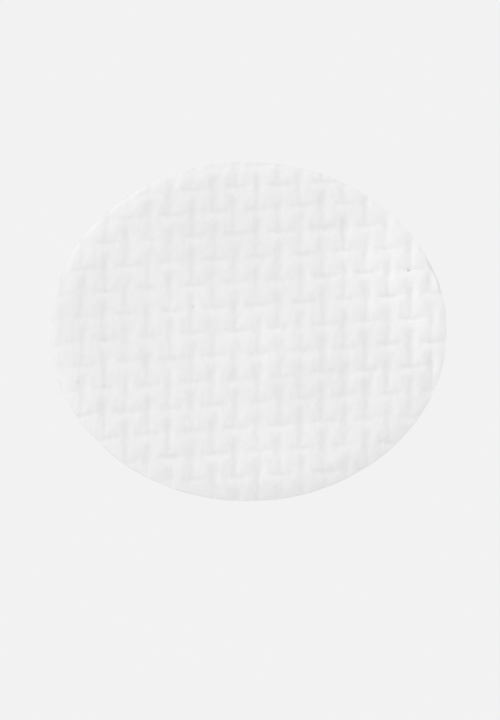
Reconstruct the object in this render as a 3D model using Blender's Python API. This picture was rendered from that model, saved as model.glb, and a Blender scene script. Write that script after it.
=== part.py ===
"""Cleansing pad: a thin round pad of white nonwoven with a pressed weave pattern.

Units are metres and +Z is up. The pad lies flat, with its underside on Z = 0 and
its centre over the origin. The pattern is upright seen from -Y: grooves run along
Y, and shorter dashes run along X, climbing slightly towards +X.

The upper face is a grid whose lines follow the pattern, so every groove and dash
has lines along its floor and its edges. It rolls down over a soft shoulder towards
the cut. The grid is cut round, then rings close it down to the thin pressed rim and
the flat underside.
"""

import math

import bmesh
import bpy
from mathutils import Matrix, Vector

# The pad as a whole
PAD_DIAMETER = 0.057
BODY_THICKNESS = 0.00105
EDGE_THICKNESS = 0.00024
SHOULDER_WIDTH = 0.00300
PLAIN_RIM_WIDTH = 0.00080
RIM_SIDES = 120

# The pattern's lattice: columns along X, rows along Y, rows climbing towards +X
COLUMN_PITCH = 0.003138
ROW_PITCH = 0.004062
ROW_CLIMB = 0.081
COLUMN_OFFSET = 0.00141
ROW_OFFSET = -0.00441

# Grooves run along Y. Each starts below a dash, is widest and deepest on its own row
# and runs down narrower into the next dash.
GROOVE_GAP = 0.00080
GROOVE_HALF_WIDTH = 0.00076
GROOVE_FOOT_HALF_WIDTH = 0.00052
GROOVE_DEPTH = 0.00021
GROOVE_FOOT_DEPTH = 0.00010

# Dashes run along X, a little further to the right of their column than to the left
DASH_LEFT_REACH = 0.00100
DASH_RIGHT_REACH = 0.00180
DASH_HALF_WIDTH = 0.00052
DASH_DEPTH = 0.00016

# Pressed walls slope out to this many half widths from the floor's middle
WALL_SPREAD = 1.4

# The soft fall of the surface around every groove and dash
PILLOW_REACH = 0.00180
PILLOW_DEPTH = 0.00012

# The pattern grows faint towards the plain rim
PATTERN_FADE_WIDTH = 0.00200
PATTERN_LEFT_AT_RIM = 0.50

# The short stretch of rim that stands up a little, to the right
LIP_ANGLE = math.radians(18.5)
LIP_HALF_SPAN = math.radians(8.0)
LIP_RISE = 0.00025
LIP_REACH = 0.00180

# Between two rows the grid has two more lines, at these shares of the row pitch
LINES_BETWEEN_ROWS = (1.0 / 3.0, 0.6)

# Vertices nearer than the first are one vertex; a cut passes through those nearer than the second
MERGE_DISTANCE = 0.00012
CUT_TOLERANCE = 0.0000001

# Edges that bend more than this are shaded sharp
SHARP_ANGLE = math.radians(50.0)

NONWOVEN_COLOUR = (0.86, 0.86, 0.855, 1.0)
NONWOVEN_ROUGHNESS = 0.92

PAD_RADIUS = PAD_DIAMETER / 2.0
FACE_RADIUS = PAD_RADIUS - PLAIN_RIM_WIDTH


def remove_objects():
    """Empty the scene of whatever it holds."""
    for item in list(bpy.data.objects):
        bpy.data.objects.remove(item, do_unlink=True)


def make_material():
    """Return the matt white of the nonwoven."""
    material = bpy.data.materials.new("white_nonwoven")
    material.use_nodes = True
    shader = material.node_tree.nodes["Principled BSDF"]
    shader.inputs["Base Color"].default_value = NONWOVEN_COLOUR
    shader.inputs["Roughness"].default_value = NONWOVEN_ROUGHNESS
    shader.inputs["Metallic"].default_value = 0.0
    return material


def fade(distance, reach):
    """Return 1 at no distance, falling smoothly to 0 at the reach."""
    share = min(distance / reach, 1.0)
    return (1.0 - share * share) ** 2


def row_height_at(x, row):
    """Return where a row's line passes at x."""
    return ROW_OFFSET - row * ROW_PITCH + ROW_CLIMB * x


def pressed_by_groove(x, y, column, row):
    """Return how deep one groove presses the surface at a point, sharp part then soft part."""
    groove_x = COLUMN_OFFSET + column * COLUMN_PITCH
    top = row_height_at(groove_x, row - 1) - GROOVE_GAP
    deepest = row_height_at(groove_x, row)
    foot = row_height_at(groove_x, row + 1)
    nearest_y = min(max(y, foot), top)
    distance = math.hypot(x - groove_x, y - nearest_y)
    above = fade(max(nearest_y - deepest, 0.0), top - deepest)
    below = fade(max(deepest - nearest_y, 0.0), deepest - foot)
    half_width = GROOVE_FOOT_HALF_WIDTH + below * (GROOVE_HALF_WIDTH - GROOVE_FOOT_HALF_WIDTH)
    depth = above * (GROOVE_FOOT_DEPTH + below * (GROOVE_DEPTH - GROOVE_FOOT_DEPTH))
    sharp = depth * fade(distance, WALL_SPREAD * half_width)
    return sharp, above * PILLOW_DEPTH * fade(distance, PILLOW_REACH)


def pressed_by_dash(x, y, column, row):
    """Return how deep one dash presses the surface at a point, sharp part then soft part."""
    dash_x = COLUMN_OFFSET + column * COLUMN_PITCH
    nearest_x = min(max(x, dash_x - DASH_LEFT_REACH), dash_x + DASH_RIGHT_REACH)
    distance = math.hypot(x - nearest_x, y - row_height_at(nearest_x, row))
    sharp = DASH_DEPTH * fade(distance, WALL_SPREAD * DASH_HALF_WIDTH)
    return sharp, PILLOW_DEPTH * fade(distance, PILLOW_REACH)


def body_height(inwards):
    """Return the plain body's height at a distance in from the cut, rolled down over the shoulder."""
    short_of_body = 1.0 - min(inwards / SHOULDER_WIDTH, 1.0)
    return BODY_THICKNESS - (BODY_THICKNESS - EDGE_THICKNESS) * short_of_body**2


def lip_lift(x, y):
    """Return how far the raised stretch of rim stands up at a point."""
    away = math.remainder(math.atan2(y, x) - LIP_ANGLE, math.tau)
    inwards = max(PAD_RADIUS - math.hypot(x, y), 0.0)
    return LIP_RISE * fade(abs(away), LIP_HALF_SPAN) * fade(inwards, LIP_REACH)


def face_height(x, y):
    """Return the height of the patterned upper face at a point.

    Grooves and dashes take turns on the lattice, as the strands of a plain weave do:
    a groove where column and row add up to an odd number, a dash where they are even.
    """
    column = round((x - COLUMN_OFFSET) / COLUMN_PITCH)
    row = round((row_height_at(x, 0) - y) / ROW_PITCH)
    sharp = 0.0
    soft = 0.0
    for near_column in range(column - 1, column + 2):
        for near_row in range(row - 2, row + 3):
            is_groove = (near_column + near_row) % 2 == 1
            pressed = pressed_by_groove if is_groove else pressed_by_dash
            here_sharp, here_soft = pressed(x, y, near_column, near_row)
            sharp = max(sharp, here_sharp)
            soft = max(soft, here_soft)
    inwards = max(PAD_RADIUS - math.hypot(x, y), PLAIN_RIM_WIDTH)
    strength = 1.0 - (1.0 - PATTERN_LEFT_AT_RIM) * fade(inwards - PLAIN_RIM_WIDTH, PATTERN_FADE_WIDTH)
    return body_height(inwards) + lip_lift(x, y) - strength * (sharp + soft)


def lattice_lines(offset, pitch, line_places):
    """Return the grid lines across the face: each lattice line and the lines beside it."""
    count = math.ceil((PAD_RADIUS + abs(offset)) / pitch) + 2
    lines = [offset + step * pitch + place for step in range(-count, count + 1) for place in line_places]
    return sorted(lines)


def patterned_face(mesh):
    """Fill the mesh with a grid on the pattern's own lines, raised to the pressed surface."""
    columns = lattice_lines(
        COLUMN_OFFSET,
        COLUMN_PITCH,
        (-GROOVE_HALF_WIDTH, 0.0, GROOVE_HALF_WIDTH, COLUMN_PITCH / 2.0),
    )
    rows = lattice_lines(
        ROW_OFFSET,
        ROW_PITCH,
        (DASH_HALF_WIDTH, 0.0, -DASH_HALF_WIDTH, *(-share * ROW_PITCH for share in LINES_BETWEEN_ROWS)),
    )
    bmesh.ops.create_grid(mesh, x_segments=len(columns) - 1, y_segments=len(rows) - 1, size=1.0)
    for vertex in mesh.verts:
        x = columns[round((vertex.co.x + 1.0) / 2.0 * (len(columns) - 1))]
        y = rows[round((vertex.co.y + 1.0) / 2.0 * (len(rows) - 1))] + ROW_CLIMB * x
        vertex.co = (x, y, 0.0)
    reach = FACE_RADIUS + ROW_PITCH / 2.0
    outside = [vertex for vertex in mesh.verts if vertex.co.length > reach]
    bmesh.ops.delete(mesh, geom=outside, context="VERTS")
    for vertex in mesh.verts:
        vertex.co.z = face_height(vertex.co.x, vertex.co.y)
    bmesh.ops.triangulate(mesh, faces=mesh.faces[:], quad_method="SHORT_EDGE")


def cut_round(mesh):
    """Cut the patterned face round, one straight cut for each side of the rim."""
    for side in range(RIM_SIDES):
        angle = (side + 0.5) * math.tau / RIM_SIDES
        outward = Vector((math.cos(angle), math.sin(angle), 0.0))
        beyond = FACE_RADIUS * math.cos(math.pi / RIM_SIDES)
        bmesh.ops.bisect_plane(
            mesh,
            geom=mesh.verts[:] + mesh.edges[:] + mesh.faces[:],
            dist=CUT_TOLERANCE,
            plane_co=outward * beyond,
            plane_no=outward,
            clear_outer=True,
        )
    bmesh.ops.remove_doubles(mesh, verts=mesh.verts[:], dist=MERGE_DISTANCE)


def add_ring(mesh, height):
    """Add a ring around the pad and return its vertices and its edges."""
    made = bmesh.ops.create_circle(
        mesh,
        cap_ends=False,
        segments=RIM_SIDES,
        radius=PAD_RADIUS,
        matrix=Matrix.Translation((0.0, 0.0, height)),
    )
    edges = {edge for vertex in made["verts"] for edge in vertex.link_edges}
    return made["verts"], list(edges)


def close_pad(mesh):
    """Carry the face's edge down to the rim, and the rim down to the flat underside."""
    face_edge = [edge for edge in mesh.edges if edge.is_boundary]
    rim_vertices, rim = add_ring(mesh, EDGE_THICKNESS)
    for vertex in rim_vertices:
        vertex.co.z += lip_lift(vertex.co.x, vertex.co.y)
    base = add_ring(mesh, 0.0)[1]
    bmesh.ops.bridge_loops(mesh, edges=face_edge + rim)
    bmesh.ops.bridge_loops(mesh, edges=rim + base)
    bmesh.ops.contextual_create(mesh, geom=base)
    bmesh.ops.recalc_face_normals(mesh, faces=mesh.faces[:])


def make_pad(collection):
    """Build the pad as one closed body."""
    mesh = bmesh.new()
    patterned_face(mesh)
    cut_round(mesh)
    close_pad(mesh)
    data = bpy.data.meshes.new("pad")
    mesh.to_mesh(data)
    mesh.free()
    data.materials.append(make_material())
    data.shade_smooth()
    data.set_sharp_from_angle(angle=SHARP_ANGLE)
    pad = bpy.data.objects.new("pad", data)
    collection.objects.link(pad)
    return pad


def main():
    """Build the cleansing pad in a collection of its own."""
    remove_objects()
    collection = bpy.data.collections.new("Cleansing pad")
    bpy.context.scene.collection.children.link(collection)
    make_pad(collection)


main()
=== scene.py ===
"""A round cleansing pad of white nonwoven with a pressed weave pattern, on a pale table.

Everything is in metres in the part's own frame: +Z up, the pad's flat underside on
Z = 0 and its centre over the origin. The patterned face is one surface of two
parameters. Grooves along Y and dashes along X are pressed into it in turns, as the
strands of a plain weave pass over and under each other.
"""

import math

import bpy
import numpy as np
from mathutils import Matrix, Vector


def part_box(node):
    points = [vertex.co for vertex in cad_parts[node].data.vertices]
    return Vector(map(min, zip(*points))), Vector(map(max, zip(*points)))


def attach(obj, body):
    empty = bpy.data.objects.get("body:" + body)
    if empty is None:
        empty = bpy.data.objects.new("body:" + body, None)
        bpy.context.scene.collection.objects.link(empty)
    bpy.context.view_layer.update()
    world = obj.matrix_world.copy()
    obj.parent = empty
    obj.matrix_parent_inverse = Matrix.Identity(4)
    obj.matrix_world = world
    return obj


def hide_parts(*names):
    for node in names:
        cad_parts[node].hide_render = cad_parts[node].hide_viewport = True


bl_info = {
    "name": "Cleansing Pad",
    "version": (1, 0, 0),
    "blender": (4, 5, 0),
    "location": "View3D > Sidebar > Pad",
    "description": "Builds a pressed nonwoven cleansing pad and the table it lies on",
    "category": "Add Mesh",
}

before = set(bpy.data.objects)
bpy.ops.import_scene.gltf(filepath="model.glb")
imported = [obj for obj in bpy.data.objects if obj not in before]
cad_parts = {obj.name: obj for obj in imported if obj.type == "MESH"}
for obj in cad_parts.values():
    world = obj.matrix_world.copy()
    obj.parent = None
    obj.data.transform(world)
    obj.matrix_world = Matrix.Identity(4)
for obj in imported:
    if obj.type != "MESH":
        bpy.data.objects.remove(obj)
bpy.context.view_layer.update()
PAD_LOW, PAD_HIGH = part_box("pad")
PAD_RADIUS = (PAD_HIGH[0] - PAD_LOW[0]) / 2.0
MM = 0.001

# The photograph's frame and where the pad lies in it
FRAME_HEIGHT_PX = 720
PAD_WIDTH_PX = 397.0
PAD_LEFT_OF_MIDDLE_PX = 1.8
PAD_ABOVE_MIDDLE_PX = 30.2


class PadSizes(bpy.types.PropertyGroup):
    """The pad's own sizes and those of its pressed pattern."""

    radius: bpy.props.FloatProperty(
        name="Radius", description="Half the width of the pad",
        default=PAD_RADIUS, min=0.01, unit="LENGTH", precision=5,
    )
    body: bpy.props.FloatProperty(
        name="Body thickness", description="Thickness at the top of a puff",
        default=1.03 * MM, unit="LENGTH", precision=5,
    )
    edge: bpy.props.FloatProperty(
        name="Edge thickness", description="Thickness of the pressed rim at the cut",
        default=0.17 * MM, unit="LENGTH", precision=5,
    )
    shoulder: bpy.props.FloatProperty(
        name="Shoulder width", description="How far in from the cut the face rolls down to the rim",
        default=3.00 * MM, unit="LENGTH", precision=5,
    )
    column_pitch: bpy.props.FloatProperty(
        name="Column pitch", description="Distance between neighbouring groove lines",
        default=3.138 * MM, unit="LENGTH", precision=5,
    )
    row_pitch: bpy.props.FloatProperty(
        name="Row pitch", description="Distance between neighbouring dash lines",
        default=4.062 * MM, unit="LENGTH", precision=5,
    )
    row_climb: bpy.props.FloatProperty(
        name="Row climb", description="How much a row rises for each metre to the right",
        default=0.081,
    )
    groove_depth: bpy.props.FloatProperty(
        name="Groove depth", description="How deep a groove is pressed where it is deepest",
        default=0.178 * MM, unit="LENGTH", precision=5,
    )
    dash_depth: bpy.props.FloatProperty(
        name="Dash depth", description="How deep the left end of a dash is pressed",
        default=0.110 * MM, unit="LENGTH", precision=5,
    )
    puff_depth: bpy.props.FloatProperty(
        name="Puff depth", description="How far the surface falls softly towards grooves and dashes",
        default=0.108 * MM, unit="LENGTH", precision=5,
    )
    cells: bpy.props.IntProperty(
        name="Cells", description="Cells across the patterned face, a multiple of four",
        default=288, min=16,
    )
    seed: bpy.props.IntProperty(
        name="Seed", description="Seed of the small differences between the pressed marks",
        default=11,
    )


class PadFinish(bpy.types.PropertyGroup):
    """Colours and surface of the nonwoven, and of its painted shade and highlight."""

    white: bpy.props.FloatVectorProperty(
        name="White", description="Colour of the loose fibre on the puffs",
        default=(0.846, 0.846, 0.844), subtype="COLOR", min=0.0, max=1.0,
    )
    # Also the colour of the painted highlight on the far left rim, where the lamp catches the edge
    thick_white_and_highlight: bpy.props.FloatVectorProperty(
        name="Thick white", description="Colour where the web of fibre lies thickest",
        default=(0.885, 0.885, 0.883), subtype="COLOR", min=0.0, max=1.0,
    )
    # Partly the denser fibre's own grey, partly painted shade in the hollows of grooves and dashes
    pressed_white_and_shade: bpy.props.FloatVectorProperty(
        name="Pressed white", description="Colour of the denser fibre on a pressed floor",
        default=(0.802, 0.803, 0.804), subtype="COLOR", min=0.0, max=1.0,
    )
    # Painted shade: dents, the crease and the lip's outer side are darkened towards this colour
    painted_shade: bpy.props.FloatVectorProperty(
        name="Pin shade", description="Colour that small dents, the crease and the lip's outer side tend to",
        default=(0.66, 0.66, 0.66), subtype="COLOR", min=0.0, max=1.0,
    )
    roughness: bpy.props.FloatProperty(
        name="Roughness", description="Roughness of the loose fibre",
        default=0.94, min=0.0, max=1.0, subtype="FACTOR",
    )
    pressed_roughness: bpy.props.FloatProperty(
        name="Pressed roughness", description="Roughness of the denser fibre",
        default=0.80, min=0.0, max=1.0, subtype="FACTOR",
    )


class StageSettings(bpy.types.PropertyGroup):
    """The table, the light and the camera."""

    table_white: bpy.props.FloatVectorProperty(
        name="Table", description="Colour of the pale table",
        default=(0.888, 0.888, 0.888), subtype="COLOR", min=0.0, max=1.0,
    )
    plain_share: bpy.props.FloatProperty(
        name="Plain share", description="How much of the table the camera sees as plain tone, free of shadow",
        default=0.90, min=0.0, max=1.0, subtype="FACTOR",
    )
    sky_light: bpy.props.FloatProperty(
        name="Sky light", description="Level of the even light from all round",
        default=0.83, min=0.0,
    )
    lamp_light: bpy.props.FloatProperty(
        name="Lamp light", description="Irradiance of the soft lamp at the back left, in W/m2",
        default=0.755, min=0.0,
    )
    elevation: bpy.props.FloatProperty(
        name="Elevation", description="Height of the camera above the table, as an angle",
        default=math.radians(59.0), subtype="ANGLE", unit="ROTATION",
    )
    distance: bpy.props.FloatProperty(
        name="Distance", description="Distance from the camera to the pad",
        default=1.5, unit="LENGTH",
    )


class PadScene(bpy.types.PropertyGroup):
    """All the settings, in one place on the scene."""

    sizes: bpy.props.PointerProperty(type=PadSizes, name="Sizes", description="Sizes of the pad")
    finish: bpy.props.PointerProperty(type=PadFinish, name="Finish", description="Finish of the pad")
    stage: bpy.props.PointerProperty(type=StageSettings, name="Stage", description="Table, light, camera")


# Surfaces


def disc_grid(radius, cells, crowding):
    """Bend a square grid to a round disc.

    With u and v from -1 to 1: x is u times the root of 1 - v*v/2, and y is v times
    the root of 1 - u*u/2. The distance from the centre, r, then becomes
    sin(crowding * r) / sin(crowding), which draws the lines closer near the rim.
    """
    line = np.linspace(-1.0, 1.0, cells + 1)
    u, v = np.meshgrid(line, line)
    x = u * np.sqrt(1.0 - v * v / 2.0)
    y = v * np.sqrt(1.0 - u * u / 2.0)
    out = np.maximum(np.hypot(x, y), 1e-9)
    pull = np.sin(crowding * out) / (math.sin(crowding) * out)
    return radius * x * pull, radius * y * pull


def rim_indices(cells):
    """Return a square grid's outer vertices in order, anticlockwise from its lower left corner."""
    number = np.arange((cells + 1) ** 2).reshape(cells + 1, cells + 1)
    return np.concatenate([number[0, :-1], number[:-1, -1], number[-1, :0:-1], number[:0:-1, 0]])


def grid_faces(rows, columns, start, flip):
    """Return the four corners of each cell of a grid whose first vertex has the number start."""
    number = start + np.arange(rows * columns).reshape(rows, columns)
    faces = np.stack([number[:-1, :-1], number[:-1, 1:], number[1:, 1:], number[1:, :-1]], axis=-1)
    faces = faces.reshape(-1, 4)
    return faces[:, ::-1] if flip else faces


def fade(distance, reach):
    """Return 1 at no distance, falling smoothly to 0 at the reach: (1 - q*q) squared."""
    share = np.minimum(np.abs(distance) / reach, 1.0)
    return (1.0 - share * share) ** 2


def drift(x, y, wavelengths, count, rng):
    """Return a smooth random field: the sum of cosine waves that cross in all directions."""
    total = np.zeros_like(x)
    for _ in range(count):
        wavelength = rng.uniform(*wavelengths)
        heading, phase = rng.uniform(0.0, math.tau, 2)
        along = x * math.cos(heading) + y * math.sin(heading)
        total += np.cos(math.tau * along / wavelength + phase)
    return total / math.sqrt(count / 2.0)


# Where the line of column 0 lies, just right of the centre, and that of row 0 where x is 0
COLUMN_OFFSET = 1.41 * MM
ROW_OFFSET = -4.41 * MM
# A groove starts this far below a dash, and leans a little to the right going up
GROOVE_GAP = 0.15 * MM
GROOVE_LEAN = 0.38 * MM
# As shares of its length: it deepens over the first stretch, and past the second it narrows
# and grows shallow over the third, down to a share of its depth
GROOVE_START = 0.43
GROOVE_PEAK = 0.49
GROOVE_FALL = 0.24
GROOVE_FOOT_SHARE = 0.29
# Its left wall is the gentler one
GROOVE_LEFT_WIDTH = 0.76 * MM
GROOVE_RIGHT_WIDTH = 0.67 * MM
GROOVE_FOOT_WIDTH = 0.46 * MM
# A dash reaches further to the right of its groove line than to the left, and hangs
# in the middle like a slack thread
DASH_LEFT = 1.08 * MM
DASH_RIGHT = 1.91 * MM
DASH_SAG = 0.17 * MM
DASH_FAR_WIDTH = 0.44 * MM
DASH_NEAR_WIDTH = 0.58 * MM
# As shares of its length: where it is deepest, and how far from there it grows shallow,
# down to a share of its depth
DASH_PEAK = 0.28
DASH_FALL = 0.59
DASH_END_SHARE = 0.57
# How far the surface falls softly towards a groove and towards a dash
GROOVE_REACH = 1.79 * MM
DASH_REACH = 2.02 * MM
# Marks differ a little from one to the next, by random draws of a spread of one that stop at
# the limit. These are their scales: lengths, then shares of width, depth and soft fall.
VARY_LIMIT = 2.0
VARY_TOP = 0.30 * MM
VARY_FOOT = 0.06 * MM
VARY_GROOVE_X = 0.09 * MM
VARY_DASH_LEFT = 0.14 * MM
VARY_DASH_RIGHT = 0.20 * MM
VARY_DASH_Y = 0.09 * MM
VARY_WIDTH = 0.10
VARY_DEPTH = 0.15
VARY_FALL = 0.18
# More lattice lines each way than the pad has
LATTICE_SPAN = 40
# Overlapping marks press the fibre no denser than this
DENSEST = 1.4
# Small deep dents, where a groove and a dash meet: x, y, depth, half width
PIN_DENTS = (
    (23.12 * MM, 9.62 * MM, 0.26 * MM, 0.125 * MM),
    (-24.30 * MM, -9.30 * MM, 0.15 * MM, 0.22 * MM),
    (-7.86 * MM, 3.36 * MM, 0.17 * MM, 0.24 * MM),
    (-20.50 * MM, 5.95 * MM, 0.14 * MM, 0.24 * MM),
    (-20.50 * MM, -2.27 * MM, 0.13 * MM, 0.24 * MM),
    (-20.50 * MM, -10.00 * MM, 0.12 * MM, 0.24 * MM),
)
# A dent this deep is darkened fully towards the painted shade, standing in for the shade down in it
DENT_FULL_SHADE_DEPTH = 0.38 * MM
# Broad patches where the web lies thicker, or thinner if less than nothing: x, y, reach, amount
WEB_PATCHES = (
    (23.0 * MM, 10.0 * MM, 15.0 * MM, 0.95),
    (-6.0 * MM, 16.5 * MM, 11.5 * MM, -0.35),
    (2.0 * MM, 27.0 * MM, 9.0 * MM, 0.16),
    (10.0 * MM, -10.0 * MM, 9.0 * MM, -0.32),
    (3.0 * MM, -20.5 * MM, 9.0 * MM, 0.26),
    (27.5 * MM, -2.0 * MM, 8.0 * MM, 0.78),
    (-25.0 * MM, 4.0 * MM, 15.0 * MM, -0.36),
    (2.5 * MM, -2.5 * MM, 10.0 * MM, 0.28),
    (21.0 * MM, -13.0 * MM, 11.0 * MM, 0.15),
)
WEB_RISE = 0.05 * MM
# Lofts and lumps of the web: their height, shortest and longest wave, and number of waves
LOFT_HEIGHT, LOFT_WAVES, LOFT_COUNT = 0.018 * MM, (2.2 * MM, 7.0 * MM), 40
LUMP_HEIGHT, LUMP_WAVES, LUMP_COUNT = 0.006 * MM, (0.7 * MM, 1.5 * MM), 60
LUMPS_LEFT_AT_CUT = 0.3
# Broad patches where the pattern is pressed deeper, or fainter if less than nothing
PRESS_PATCHES = (
    (29.0 * MM, 1.0 * MM, 20.0 * MM, 0.50),
    (18.0 * MM, 14.0 * MM, 14.0 * MM, 0.22),
    (-25.0 * MM, 4.0 * MM, 24.0 * MM, -0.28),
)
# The face is whiter along the cut, by amounts that wave around the rim, and a narrow painted
# highlight lies on the far left rim, where the lamp catches the edge
RIM_WEB = 0.37
RIM_WEB_WAVES = ((1, 0.35, math.radians(-28.0)), (2, 0.32, math.radians(12.0)), (3, 0.09, 0.0))
RIM_WEB_WIDTH = 2.40 * MM
RIM_PAINTED_HIGHLIGHT = 0.72
RIM_PAINTED_HIGHLIGHT_ANGLE = math.radians(143.0)
RIM_PAINTED_HIGHLIGHT_WIDTH = 1.10 * MM
# A high power keeps the painted highlight to a short stretch of rim
RIM_PAINTED_HIGHLIGHT_POWER = 12
# How steeply the shoulder rolls down
SHOULDER_POWER = 1.8
# How deep the pattern still is at the cut, and how fast it deepens inwards
PATTERN_LEFT_AT_CUT = 0.75
PATTERN_POWER = 0.7
LEAST_THICKNESS = 0.05 * MM
# The rim is a little thicker towards the front
RIM_THICKEST = math.radians(-75.0)
RIM_THICKNESS_SWING = 0.25
# The cut strays a little in and out: waves around the rim, their size and where they crest.
# The high power of the distance out keeps it to the rim.
RIM_WAVES = (
    (1, 0.030 * MM, math.radians(135.0)),
    (3, 0.030 * MM, math.radians(135.0)),
    (8, 0.020 * MM, math.radians(17.0)),
    (13, 0.022 * MM, math.radians(9.0)),
    (22, 0.016 * MM, math.radians(3.0)),
    (37, 0.012 * MM, math.radians(6.0)),
)
STRAY_POWER = 8
# The short stretch of rim that stands up a little, to the right
LIP_ANGLE = math.radians(18.5)
LIP_HALF_SPAN = math.radians(8.5)
LIP_RISE = 0.36 * MM
LIP_CREST_INSET = 0.28 * MM
LIP_OUTER_WIDTH = 0.30 * MM
LIP_INNER_WIDTH = 0.80 * MM
# The crease behind it starts at the cut, at the lip's upper end, and slants inwards
CREASE_START = math.radians(21.4)
CREASE_SPAN_UP = math.radians(5.0)
CREASE_SPAN_DOWN = math.radians(12.5)
CREASE_SLANT = 16.0 * MM
CREASE_LEAST_INSET = 0.20 * MM
CREASE_WIDTH = 0.40 * MM
CREASE_GROWTH = 0.15
CREASE_DEPTH = 0.10 * MM
# How much of the painted shade the crease and the lip's outer side take on, where shade falls
CREASE_PAINTED_SHADE = 0.24
LIP_PAINTED_SHADE = 0.55
# The face stops short of the cut, and the underside's grid stops well short of it. Each
# grid's crowding draws its lines closer near its edge, and the underside has fewer cells.
FACE_INSET = 0.05 * MM
FACE_CROWDING = 1.08
UNDER_INSET = 0.6 * MM
UNDER_CROWDING = 0.95
UNDER_COARSER = 4
# The cut wall's rings from the face down: how far each stands out from the plain radius, or
# in if less than nothing, and its share of the rim's height
WALL_RINGS = (
    (-0.012 * MM, 0.93),
    (0.0, 0.78),
    (-0.006 * MM, 0.52),
    (-0.002 * MM, 0.26),
    (-0.03 * MM, 0.06),
    (-0.09 * MM, 0.0),
)


def pressed_marks(x, y, sizes):
    """Press the grooves and dashes into the face.

    Each mark is a line on a leaning lattice. Its depth at a point is its own depth
    times exp(-(d / w) squared), where d is the distance to the line and w its half
    width, and marks that meet join by the greater depth. The puffs come from a wide
    soft fall around each mark, joined by the fourth root of the sum of fourth powers.
    Returns the depth, how pressed a point is by any mark and by dashes, and how much painted
    shade it takes down in a small deep dent.
    """
    rng = np.random.default_rng(sizes.seed)
    vary = rng.normal(size=(6, LATTICE_SPAN, LATTICE_SPAN)).clip(-VARY_LIMIT, VARY_LIMIT)
    column = np.rint((x - COLUMN_OFFSET) / sizes.column_pitch).astype(int)
    row = np.rint((ROW_OFFSET + sizes.row_climb * x - y) / sizes.row_pitch).astype(int)
    depth = np.zeros_like(x)
    puff = np.zeros_like(x)
    any_mark = np.zeros_like(x)
    dash_mark = np.zeros_like(x)
    for right in range(-1, 2):
        for down in range(-2, 3):
            k, r = column + right, row + down
            draws = vary[:, k + LATTICE_SPAN // 2, r + LATTICE_SPAN // 2]
            start_draw, end_draw, shift_draw, width_draw, depth_draw, fall_draw = draws
            line_x = COLUMN_OFFSET + k * sizes.column_pitch
            line_y = ROW_OFFSET + sizes.row_climb * line_x - r * sizes.row_pitch
            is_groove = (k + r) % 2 == 1

            top = line_y + sizes.row_pitch - GROOVE_GAP + VARY_TOP * start_draw
            foot = line_y - sizes.row_pitch + VARY_FOOT * end_draw
            along = ((top - y) / (top - foot)).clip(0.0, 1.0)
            middle_x = line_x + GROOVE_LEAN * (0.5 - along) + VARY_GROOVE_X * shift_draw
            groove_away = np.hypot(x - middle_x, y - (top + along * (foot - top)))
            begun = 1.0 - fade(along, GROOVE_START)
            full = fade(np.maximum(along - GROOVE_PEAK, 0.0), GROOVE_FALL)
            side_width = np.where(x < middle_x, GROOVE_LEFT_WIDTH, GROOVE_RIGHT_WIDTH)
            groove_width = GROOVE_FOOT_WIDTH + full * (side_width - GROOVE_FOOT_WIDTH)
            groove_share = begun * (GROOVE_FOOT_SHARE + (1.0 - GROOVE_FOOT_SHARE) * full)

            left = line_x - DASH_LEFT + VARY_DASH_LEFT * start_draw
            reach = line_x + DASH_RIGHT + VARY_DASH_RIGHT * end_draw
            across = ((x - left) / (reach - left)).clip(0.0, 1.0)
            sag = DASH_SAG * 4.0 * across * (1.0 - across)
            nearest_x = x.clip(left, reach)
            middle_y = line_y + sizes.row_climb * (nearest_x - line_x) - sag + VARY_DASH_Y * shift_draw
            dash_away = np.hypot(x - nearest_x, y - middle_y)
            dash_width = np.where(y > middle_y, DASH_FAR_WIDTH, DASH_NEAR_WIDTH)
            dash_share = DASH_END_SHARE + (1.0 - DASH_END_SHARE) * fade(across - DASH_PEAK, DASH_FALL)

            away = np.where(is_groove, groove_away, dash_away)
            width = np.where(is_groove, groove_width, dash_width) * (1.0 + VARY_WIDTH * width_draw)
            strength = np.exp(VARY_DEPTH * depth_draw)
            groove_depth = sizes.groove_depth * groove_share
            own_depth = np.where(is_groove, groove_depth, sizes.dash_depth * dash_share)
            mark = np.exp(-((away / width) ** 2))
            depth = np.maximum(depth, strength * own_depth * mark)
            any_mark = np.maximum(any_mark, strength * mark * np.where(is_groove, begun, dash_share))
            dash_mark = np.maximum(dash_mark, np.where(is_groove, 0.0, mark))
            fall = np.where(is_groove, begun * fade(away, GROOVE_REACH), fade(away, DASH_REACH))
            puff += (fall * (1.0 + VARY_FALL * fall_draw)) ** 4
    depth = depth + sizes.puff_depth * np.sqrt(np.sqrt(puff))
    # Small dents are darkened with painted shade, standing in for the shade down in them
    dent_painted_shade = np.zeros_like(x)
    for dent_x, dent_y, dent_depth, dent_width in PIN_DENTS:
        dent = np.exp(-(((x - dent_x) ** 2 + (y - dent_y) ** 2) / dent_width ** 2))
        depth = depth + dent_depth * dent
        dent_painted_shade = np.maximum(dent_painted_shade, dent * dent_depth / DENT_FULL_SHADE_DEPTH)
    return depth, any_mark.clip(0.0, DENSEST), dash_mark, dent_painted_shade


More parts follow.
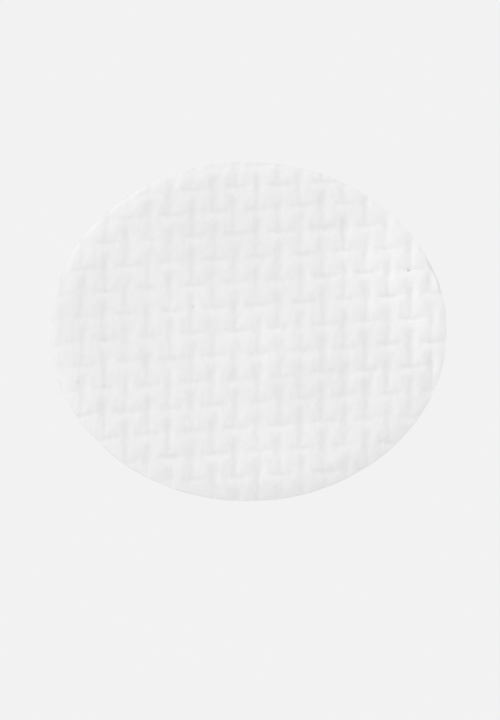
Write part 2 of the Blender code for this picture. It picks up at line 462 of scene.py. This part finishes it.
def raised_lip(x, y, inwards):
    """Return the lift of the raised stretch of rim, and how much painted shade a point beside it takes.

    The lip is one bump along the rim times one across it, which falls steeply to the
    cut and gently inwards. The crease behind it is a valley that leaves the cut at
    its start and moves inwards by its slant for each radian, growing wider.
    """
    angle = np.arctan2(y, x)
    along = fade(angle - LIP_ANGLE, LIP_HALF_SPAN)
    past_crest = inwards - LIP_CREST_INSET
    across = fade(past_crest, np.where(past_crest > 0.0, LIP_INNER_WIDTH, LIP_OUTER_WIDTH))
    past_start = CREASE_START - angle
    crease_inset = np.maximum(CREASE_SLANT * past_start, CREASE_LEAST_INSET)
    crease_width = CREASE_WIDTH + CREASE_GROWTH * crease_inset
    crease = fade(past_start, np.where(past_start > 0.0, CREASE_SPAN_DOWN, CREASE_SPAN_UP))
    crease = crease * np.exp(-(((inwards - crease_inset) / crease_width) ** 2))
    # Painted shade: the crease and the lip's outer side, which faces away from the lamp, are darkened in
    # colour
    outer_side = along * fade(inwards, LIP_OUTER_WIDTH)
    lift = LIP_RISE * along * across - CREASE_DEPTH * crease
    return lift, CREASE_PAINTED_SHADE * crease + LIP_PAINTED_SHADE * outer_side


def broad_patches(x, y, patches):
    """Return the sum of broad soft patches, each its amount times fade(distance, reach)."""
    total = np.zeros_like(x)
    for patch_x, patch_y, reach, amount in patches:
        total += amount * fade(np.hypot(x - patch_x, y - patch_y), reach)
    return total


def waves_around(angle, waves):
    """Return the sum of waves around the rim: size * cos(number * (angle - crest))."""
    return sum(size * np.cos(number * (angle - crest)) for number, size, crest in waves)


def patterned_face(x, y, sizes):
    """Return the upper face's height and its masks.

    The plain body rolls down to the rim over the shoulder, as body - (body - edge) *
    (1 - q) ** power, where q is the share of the shoulder's width inwards. The
    pressed marks are taken off it, fainter towards the cut, and the web's lofts and
    lumps are added.
    """
    inwards = np.maximum(sizes.radius - np.hypot(x, y), 0.0)
    q = np.minimum(inwards / sizes.shoulder, 1.0)
    angle = np.arctan2(y, x)
    edge = sizes.edge * (1.0 + RIM_THICKNESS_SWING * np.cos(angle - RIM_THICKEST))
    body = sizes.body - (sizes.body - edge) * (1.0 - q) ** SHOULDER_POWER
    depth, any_mark, dash_mark, dent_painted_shade = pressed_marks(x, y, sizes)
    press = 1.0 + broad_patches(x, y, PRESS_PATCHES)
    strength = PATTERN_LEFT_AT_CUT + (1.0 - PATTERN_LEFT_AT_CUT) * q ** PATTERN_POWER
    rim_web = RIM_WEB + waves_around(angle, RIM_WEB_WAVES)
    # Painted highlight: the far left rim's edge, which faces the lamp, is whitened in colour
    rim_painted_highlight = RIM_PAINTED_HIGHLIGHT * (0.5 + 0.5 * np.cos(angle - RIM_PAINTED_HIGHLIGHT_ANGLE)) ** RIM_PAINTED_HIGHLIGHT_POWER
    lift, lip_painted_shade = raised_lip(x, y, inwards)
    rng = np.random.default_rng(sizes.seed + 1)
    loft = LOFT_HEIGHT * drift(x, y, LOFT_WAVES, LOFT_COUNT, rng)
    lumps = LUMP_HEIGHT * drift(x, y, LUMP_WAVES, LUMP_COUNT, rng)
    patches = broad_patches(x, y, WEB_PATCHES)
    lumpy = LUMPS_LEFT_AT_CUT + (1.0 - LUMPS_LEFT_AT_CUT) * q
    height = body + lift - press * strength * depth + lumpy * (loft + lumps + WEB_RISE * patches)
    masks = {
        # Greys the marks: partly denser fibre, partly painted shade in their hollows
        "pressed": press * any_mark,
        "dash": dash_mark,
        # Painted shade in the dents, in the crease and on the lip's outer side
        "shade": np.maximum(dent_painted_shade, lip_painted_shade),
        # The web mask also carries the painted highlight on the far left rim
        "web_and_highlight": patches + rim_web * fade(inwards, RIM_WEB_WIDTH) + rim_painted_highlight * fade(inwards, RIM_PAINTED_HIGHLIGHT_WIDTH),
    }
    return np.maximum(height, LEAST_THICKNESS), masks


def stray(x, y, radius):
    """Return the points with the cut's small irregularity: only those near the rim move."""
    angle = np.arctan2(y, x)
    out = waves_around(angle, RIM_WAVES)
    scale = 1.0 + out / radius * (np.hypot(x, y) / radius) ** STRAY_POWER
    return x * scale, y * scale


def pad_mesh(sizes):
    """Build the closed pad as one mesh.

    The patterned face is a bent square grid. The cut wall is a band of rings under its
    edge, the flat underside a coarser grid, and a skirt of six-sided faces joins them.
    The edge between face and wall is shaded sharp, and the face's masks become
    attributes of the points.
    """
    face_x, face_y = disc_grid(sizes.radius - FACE_INSET, sizes.cells, FACE_CROWDING)
    face_z, masks = patterned_face(face_x, face_y, sizes)
    face = np.stack([*stray(face_x, face_y, sizes.radius), face_z], axis=-1).reshape(-1, 3)
    rim = rim_indices(sizes.cells)
    rim_angle = np.arctan2(face[rim, 1], face[rim, 0])
    rim_height = face[rim, 2]

    wall_out, wall_share = np.array(WALL_RINGS).T
    wall_radius = sizes.radius + wall_out[:, None]
    wall_x, wall_y = stray(wall_radius * np.cos(rim_angle), wall_radius * np.sin(rim_angle), sizes.radius)
    wall = np.stack([wall_x, wall_y, wall_share[:, None] * rim_height], axis=-1)
    rings = len(wall_share)
    ring_size = len(rim)

    under_cells = sizes.cells // UNDER_COARSER
    under_x, under_y = disc_grid(sizes.radius - UNDER_INSET, under_cells, UNDER_CROWDING)
    under = np.stack([under_x, under_y, np.zeros_like(under_x)], axis=-1).reshape(-1, 3)

    wall_start = len(face)
    under_start = wall_start + rings * ring_size
    vertices = np.concatenate([face, wall.reshape(-1, 3), under])

    faces = [grid_faces(sizes.cells + 1, sizes.cells + 1, 0, False)]
    loops = np.concatenate([rim[None, :], wall_start + np.arange(rings * ring_size).reshape(rings, -1)])
    after = np.roll(loops, -1, axis=1)
    wall_quads = np.stack([loops[:-1], loops[1:], after[1:], after[:-1]], axis=-1)
    faces.append(wall_quads.reshape(-1, 4))
    faces.append(grid_faces(under_cells + 1, under_cells + 1, under_start, True))
    inner = under_start + rim_indices(under_cells)
    steps = ring_size // len(inner)
    outer = loops[-1].reshape(-1, steps)
    outer_end = np.roll(outer[:, 0], -1)
    skirt = np.column_stack([outer_end, outer[:, ::-1], inner, np.roll(inner, -1)])

    mesh = bpy.data.meshes.new("pad_nonwoven")
    corners = [list(map(int, corner)) for group in [*faces, skirt] for corner in group]
    mesh.from_pydata(vertices.tolist(), [], corners)
    mesh.update()
    mesh.shade_smooth()
    ends = np.empty(2 * len(mesh.edges), dtype=np.int32)
    mesh.edges.foreach_get("vertices", ends)
    cut_edge = np.isin(ends.reshape(-1, 2), rim).all(axis=1)
    mesh.attributes.new("sharp_edge", "BOOLEAN", "EDGE").data.foreach_set("value", cut_edge)
    for name, values in masks.items():
        whole = np.zeros(len(vertices), dtype=np.float32)
        whole[: len(face)] = values.reshape(-1)
        layer = mesh.attributes.new(name, "FLOAT", "POINT")
        layer.data.foreach_set("value", whole)
    mesh.validate()
    return mesh


# Materials

# Textures of the web. Noises: grains for each metre, detail, distortion.
CLOUD = (420.0, 3.0, 0.3)
FLECK = (1250.0, 1.0, 0.0)
FIBRE_DETAIL = 3.0
FIBRE_DISTORTION = 0.6
# Three sets of crossing fibres: heading in radians, slenderness, grains for each metre
FIBRES = ((1.30, 12.0, 620.0), (1.85, 12.0, 560.0), (0.45, 10.0, 700.0))
# A fleck's width, as a share of its length along Y
FLECK_SLENDER = 0.35
# Ribs in the dashes, side by side along X and a little bent
RIBS = {"Scale": 640.0, "Distortion": 1.2, "Detail": 1.0, "Detail Scale": 2.0}
# How far cloud, fleck and fibre change the web's thickness
CLOUD_SHARE = 0.18
FLECK_SHARE = 1.35
FIBRE_SHARE = 0.20
# How fully a mark shows the pressed colour, partly denser fibre and partly painted shade
PRESSED_SHARE = 0.85
# What fibre, fleck and ribs give to the bump, and how much a mark smooths them
FIBRE_RELIEF = 0.50
FLECK_RELIEF = 0.35
RIB_RELIEF = 0.55
PRESSED_SMOOTHING = 0.45
BUMP_STRENGTH = 0.5
BUMP_HEIGHT = 0.06 * MM


class Wire:
    """An output socket that takes arithmetic: an expression on wires adds Math nodes."""

    def __init__(self, tree, socket):
        self.tree = tree
        self.socket = socket

    def maths(self, operation, first, second):
        """Add a Math node for the operation."""
        return add_node(self.tree, "ShaderNodeMath", {"operation": operation}, {0: first, 1: second})

    def __add__(self, other):
        return self.maths("ADD", self, other)

    def __radd__(self, other):
        return self.maths("ADD", other, self)

    def __sub__(self, other):
        return self.maths("SUBTRACT", self, other)

    def __rsub__(self, other):
        return self.maths("SUBTRACT", other, self)

    def __mul__(self, other):
        return self.maths("MULTIPLY", self, other)

    def __rmul__(self, other):
        return self.maths("MULTIPLY", other, self)


def find_socket(sockets, key):
    """Return a socket by its place, or by its identifier, which no other socket shares."""
    if isinstance(key, int):
        return sockets[key]
    return next(socket for socket in sockets if socket.identifier == key)


def add_node(tree, kind, settings, inputs, output=0):
    """Add a node: its settings first, then its sockets' values or wires, and return one output."""
    node = tree.nodes.new(kind)
    for name, value in settings.items():
        setattr(node, name, value)
    for key, value in inputs.items():
        socket = find_socket(node.inputs, key)
        if isinstance(value, Wire):
            tree.links.new(value.socket, socket)
        else:
            socket.default_value = value
    return Wire(tree, find_socket(node.outputs, output))


def nonwoven_material(finish):
    """White nonwoven: matt crossed fibres, denser, greyer and a little smoother where pressed, the grey
    partly painted shade.
    """
    material = bpy.data.materials.new("white_nonwoven")
    material.use_nodes = True
    tree = material.node_tree
    shader = tree.nodes["Principled BSDF"]
    place = add_node(tree, "ShaderNodeTexCoord", {}, {}, "Object")
    pressed = add_node(tree, "ShaderNodeAttribute", {"attribute_name": "pressed"}, {}, "Fac")
    dash = add_node(tree, "ShaderNodeAttribute", {"attribute_name": "dash"}, {}, "Fac")

    def noise(scale, detail, distortion, vector=place):
        """A noise whose grains are 1 / scale metres apart."""
        values = {"Vector": vector, "Scale": scale, "Detail": detail, "Distortion": distortion}
        return add_node(tree, "ShaderNodeTexNoise", {}, values, "Fac")

    def strands(heading, slenderness, scale):
        """Long thin fibres along one heading: a noise squeezed across it."""
        turned = add_node(
            tree,
            "ShaderNodeMapping",
            {"vector_type": "TEXTURE"},
            {"Vector": place, "Rotation": (0.0, 0.0, heading), "Scale": (1.0, 1.0 / slenderness, 1.0)},
        )
        return noise(scale, FIBRE_DETAIL, FIBRE_DISTORTION, turned)

    drawn = add_node(tree, "ShaderNodeMapping", {}, {"Vector": place, "Scale": (1.0, FLECK_SLENDER, 1.0)})
    cloud = noise(*CLOUD)
    fleck = noise(*FLECK, drawn)
    first, second, third = (strands(*fibre) for fibre in FIBRES)
    fibres = first + second + third
    ribs = add_node(
        tree,
        "ShaderNodeTexWave",
        {"wave_type": "BANDS", "bands_direction": "X", "wave_profile": "SIN"},
        {"Vector": place, **RIBS},
        "Fac",
    )

    web_and_highlight = add_node(tree, "ShaderNodeAttribute", {"attribute_name": "web_and_highlight"}, {}, "Fac")
    # Each noise lies around 0.5, so the web thickens and thins about its own amount
    clouded = (cloud - 0.5) * CLOUD_SHARE
    flecked = (fleck - 0.5) * FLECK_SHARE
    thickness = web_and_highlight - clouded - flecked + (fibres - 1.5) * FIBRE_SHARE

    def blend(share, first, second):
        """Mix two colours, from the first at no share to the second at a full one."""
        values = {"Factor_Float": share, "A_Color": first, "B_Color": second}
        return add_node(tree, "ShaderNodeMix", {"data_type": "RGBA"}, values, "Result_Color")

    # The web mask whitens the loose fibre, and so paints the highlight on the far left rim
    loose = blend(thickness, (*finish.white, 1.0), (*finish.thick_white_and_highlight, 1.0))
    # Marks go greyer, partly for the denser fibre and partly as painted shade in their hollows
    pressed_too = blend(pressed * PRESSED_SHARE - thickness, loose, (*finish.pressed_white_and_shade, 1.0))
    # Painted shade: the shade mask darkens dents, the crease and the lip's outer side
    shade = add_node(tree, "ShaderNodeAttribute", {"attribute_name": "shade"}, {}, "Fac")
    white = blend(shade, pressed_too, (*finish.painted_shade, 1.0))
    smooth = finish.roughness + pressed * (finish.pressed_roughness - finish.roughness)
    fuzz = fibres * FIBRE_RELIEF + fleck * FLECK_RELIEF
    relief = fuzz * (1.0 - pressed * PRESSED_SMOOTHING) + ribs * dash * RIB_RELIEF
    raised = {"Strength": BUMP_STRENGTH, "Distance": BUMP_HEIGHT, "Height": relief}
    bump = add_node(tree, "ShaderNodeBump", {}, raised)

    tree.links.new(white.socket, shader.inputs["Base Color"])
    tree.links.new(smooth.socket, shader.inputs["Roughness"])
    tree.links.new(bump.socket, shader.inputs["Normal"])
    shader.inputs["Specular IOR Level"].default_value = 0.25
    shader.inputs["Sheen Weight"].default_value = 0.06
    shader.inputs["Sheen Roughness"].default_value = 0.6
    return material


def table_material(stage):
    """The plain pale table, which the camera sees mostly as its plain tone, with a faint shadow."""
    material = bpy.data.materials.new("pale_table")
    material.use_nodes = True
    tree = material.node_tree
    colour = (*stage.table_white, 1.0)
    shader = tree.nodes["Principled BSDF"]
    shader.inputs["Base Color"].default_value = colour
    shader.inputs["Roughness"].default_value = 1.0
    shader.inputs["Specular IOR Level"].default_value = 0.0
    lit = Wire(tree, shader.outputs["BSDF"])
    seen = add_node(tree, "ShaderNodeLightPath", {}, {}, "Is Camera Ray")
    plain = add_node(tree, "ShaderNodeEmission", {}, {"Color": colour, "Strength": 1.0})
    both = add_node(tree, "ShaderNodeMixShader", {}, {0: seen * stage.plain_share, 1: lit, 2: plain})
    tree.links.new(both.socket, tree.nodes["Material Output"].inputs["Surface"])
    return material


def sky_world(stage):
    """Even white light all round, shown to the camera in the table's own tone."""
    world = bpy.data.worlds.new("even_light")
    world.use_nodes = True
    tree = world.node_tree
    tree.nodes.clear()
    path = add_node(tree, "ShaderNodeLightPath", {}, {}, "Is Camera Ray")
    glossy = add_node(tree, "ShaderNodeLightPath", {}, {}, "Is Glossy Ray")
    through = add_node(tree, "ShaderNodeLightPath", {}, {}, "Is Transmission Ray")
    seen = path + glossy + through
    strength = seen * (stage.table_white[0] - stage.sky_light) + stage.sky_light
    light = add_node(
        tree, "ShaderNodeBackground", {}, {"Color": (1.0, 1.0, 1.0, 1.0), "Strength": strength}
    )
    end = tree.nodes.new("ShaderNodeOutputWorld")
    tree.links.new(light.socket, end.inputs["Surface"])
    return world


# Stage

# Half the table's width, and how far its top lies under the pad
TABLE_HALF = 4.0
TABLE_DROP = 0.02 * MM
# The wide soft lamp: how wide it looks, how far it is tilted, and its turn to the back left
LAMP_SPREAD = math.radians(35.0)
LAMP_TILT = math.radians(-45.0)
LAMP_TURN = math.radians(44.0)


# Operators


class PAD_OT_make_pad(bpy.types.Operator):
    """Make the pad in the place of its solid"""

    bl_idname = "pad.make_pad"
    bl_label = "Make Pad"

    def execute(self, context):
        """Build the mesh and its material, and give it the solid's place."""
        settings = context.scene.cleansing_pad
        mesh = pad_mesh(settings.sizes)
        mesh.materials.append(nonwoven_material(settings.finish))
        piece = bpy.data.objects.new("nonwoven_pad", mesh)
        context.scene.collection.objects.link(piece)
        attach(piece, "root")
        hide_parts("pad")
        return {"FINISHED"}


class PAD_OT_make_stage(bpy.types.Operator):
    """Make the table, the light and the camera"""

    bl_idname = "pad.make_stage"
    bl_label = "Make Stage"

    def execute(self, context):
        """Build the stage around the origin."""
        stage = context.scene.cleansing_pad.stage
        self.make_table(context, stage)
        self.make_light(context, stage)
        self.make_camera(context, stage)
        context.scene.view_settings.view_transform = "Standard"
        return {"FINISHED"}

    def make_table(self, context, stage):
        """A plain square top, a hair under the pad."""
        half, below = TABLE_HALF, -TABLE_DROP
        mesh = bpy.data.meshes.new("table_top")
        corners = [(-half, -half, below), (half, -half, below), (half, half, below), (-half, half, below)]
        mesh.from_pydata(corners, [], [(0, 1, 2, 3)])
        mesh.materials.append(table_material(stage))
        table = bpy.data.objects.new("table_top", mesh)
        context.scene.collection.objects.link(table)

    def make_light(self, context, stage):
        """Even light all round, and one wide soft lamp from the back left."""
        context.scene.world = sky_world(stage)
        lamp = bpy.data.lights.new("soft_lamp", "SUN")
        lamp.energy = stage.lamp_light
        lamp.angle = LAMP_SPREAD
        holder = bpy.data.objects.new("soft_lamp", lamp)
        holder.rotation_euler = (LAMP_TILT, 0.0, LAMP_TURN)
        context.scene.collection.objects.link(holder)

    def make_camera(self, context, stage):
        """A long lens straight in front, aimed so that the pad lies in the frame as photographed."""
        metres_per_px = 2.0 * PAD_RADIUS / PAD_WIDTH_PX
        aim_x = PAD_LEFT_OF_MIDDLE_PX * metres_per_px
        aim_y = -PAD_ABOVE_MIDDLE_PX * metres_per_px / math.sin(stage.elevation)
        lens = bpy.data.cameras.new("camera")
        lens.sensor_width = 36.0
        lens.lens = lens.sensor_width * stage.distance / (FRAME_HEIGHT_PX * metres_per_px)
        lens.clip_start = 0.1
        lens.clip_end = 20.0
        camera = bpy.data.objects.new("camera", lens)
        camera.location = (
            aim_x,
            aim_y - stage.distance * math.cos(stage.elevation),
            stage.distance * math.sin(stage.elevation),
        )
        camera.rotation_euler = (math.pi / 2.0 - stage.elevation, 0.0, 0.0)
        context.scene.collection.objects.link(camera)
        context.scene.camera = camera


class PAD_PT_panel(bpy.types.Panel):
    """The pad's settings and the two steps that build it"""

    bl_idname = "PAD_PT_panel"
    bl_label = "Cleansing Pad"
    bl_space_type = "VIEW_3D"
    bl_region_type = "UI"
    bl_category = "Pad"

    def draw(self, context):
        """List every setting, then the steps."""
        settings = context.scene.cleansing_pad
        for group in (settings.sizes, settings.finish, settings.stage):
            box = self.layout.box()
            for name in group.bl_rna.properties.keys():
                if name not in {"rna_type", "name"}:
                    box.prop(group, name)
        self.layout.operator("pad.make_pad")
        self.layout.operator("pad.make_stage")


CLASSES = (
    PadSizes,
    PadFinish,
    StageSettings,
    PadScene,
    PAD_OT_make_pad,
    PAD_OT_make_stage,
    PAD_PT_panel,
)


def register():
    """Register the classes and put the settings on the scene."""
    for cls in CLASSES:
        bpy.utils.register_class(cls)
    bpy.types.Scene.cleansing_pad = bpy.props.PointerProperty(
        type=PadScene, name="Cleansing pad", description="Settings of the cleansing pad"
    )


def unregister():
    """Take the settings off the scene and the classes out again."""
    del bpy.types.Scene.cleansing_pad
    for cls in reversed(CLASSES):
        bpy.utils.unregister_class(cls)


def main():
    register()
    bpy.ops.pad.make_pad()
    bpy.ops.pad.make_stage()


if __name__ == "__main__":
    main()
